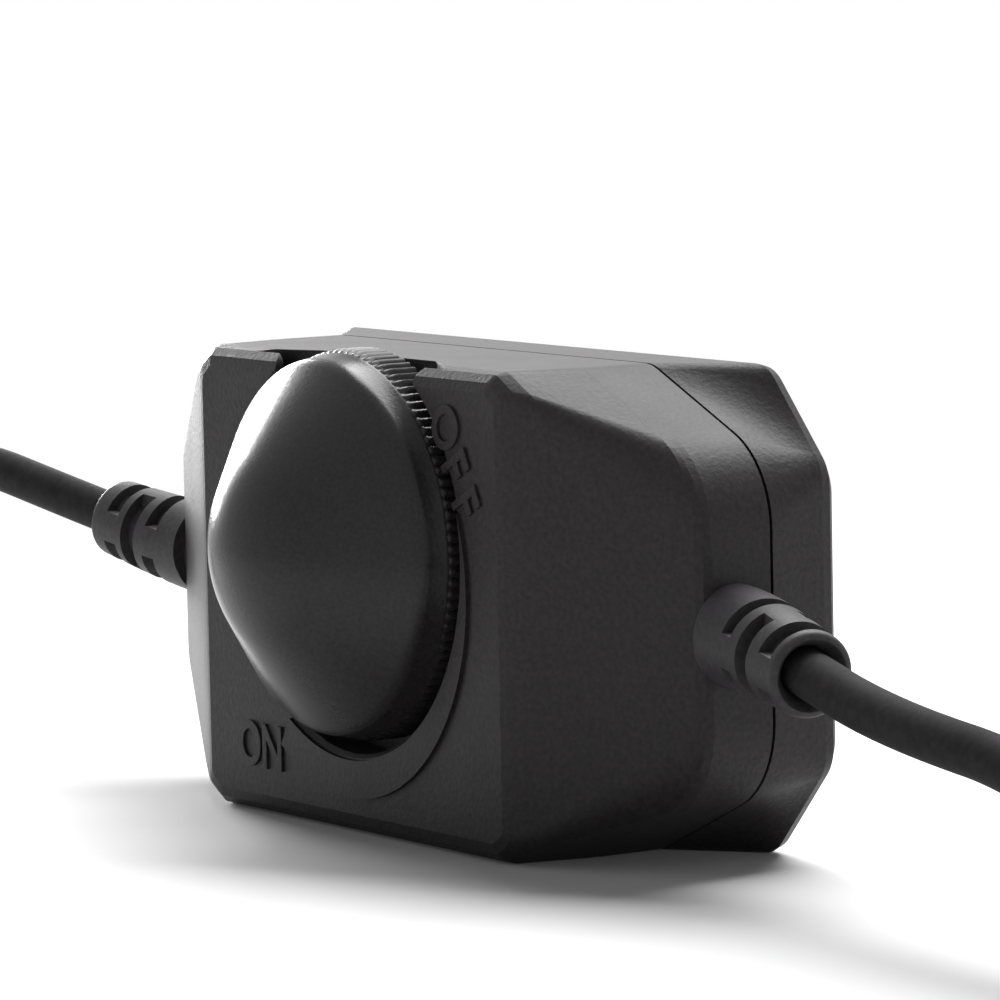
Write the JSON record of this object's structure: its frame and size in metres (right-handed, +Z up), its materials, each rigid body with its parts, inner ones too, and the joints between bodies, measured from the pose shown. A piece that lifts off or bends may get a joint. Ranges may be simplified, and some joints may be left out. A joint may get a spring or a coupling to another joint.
{
  "type": "led strip dimmer",
  "caption": "In-line rotary dimmer for low-voltage LED strip: faceted black housing, cone knob with knurled wheel, slotted strain reliefs, short cords with barrel connectors.",
  "frame": {"origin": "middle of the narrow side that the dimmer stands on, z = 0", "axes": "+X along the cords towards the plug, -Y towards the knob, +Z up"},
  "size_m": [0.2595, 0.0294, 0.0357],
  "materials": {
    "housing": "fine spark grain, black",
    "knob": "satin black",
    "cord_jacket": "satin black PVC",
    "relief": "matt black PVC",
    "moulding": "satin black PVC",
    "nickel": "bright nickel",
    "zinc": "zinc plated",
    "screw_steel": "black oxide",
    "board": "green solder mask",
    "chip": "black epoxy",
    "phenolic": "brown phenolic",
    "ceramic": "tan ceramic",
    "can": "sleeved aluminium",
    "solder": "tin solder",
    "wire_red": "red PVC",
    "wire_black": "black PVC",
    "insulator": "black nylon"
  },
  "bodies": {
    "housing": {"front_shell": "housing", "back_shell": "housing", "shell_screws": "screw_steel", "pot_sleeve": "zinc", "pot_can": "zinc", "pot_track": "phenolic", "pot_washer": "zinc", "pot_nut": "nickel", "pot_terminals": "zinc", "circuit_board": "board", "power_transistor": "chip", "timer_chip": "chip", "regulator": "chip", "diode": "chip", "resistors": "chip", "chip_capacitors": "ceramic", "storage_capacitor": "can", "solder_joints": "solder", "strain_relief_left": "relief", "strain_relief_right": "relief", "cord_left": "cord_jacket", "cord_right": "cord_jacket", "socket_body": "moulding", "socket_pin": "nickel", "socket_spring": "nickel", "plug_body": "moulding", "plug_barrel": "nickel", "plug_insulator": "insulator", "plug_contact": "nickel", "input_lead_plus": "wire_red", "input_lead_minus": "wire_black", "output_lead_plus": "wire_red", "output_lead_minus": "wire_black"},
    "knob": {"knob": "knob", "pot_shaft": "zinc", "pot_wiper": "phenolic"}
  },
  "joints": [
    {"name": "knob_turn", "type": "hinge", "parent": "housing", "child": "knob", "pos_m": [0, -0.00975, 0.0213], "axis": [0, 1, 0], "range_deg": [0, 300]}
  ]
}
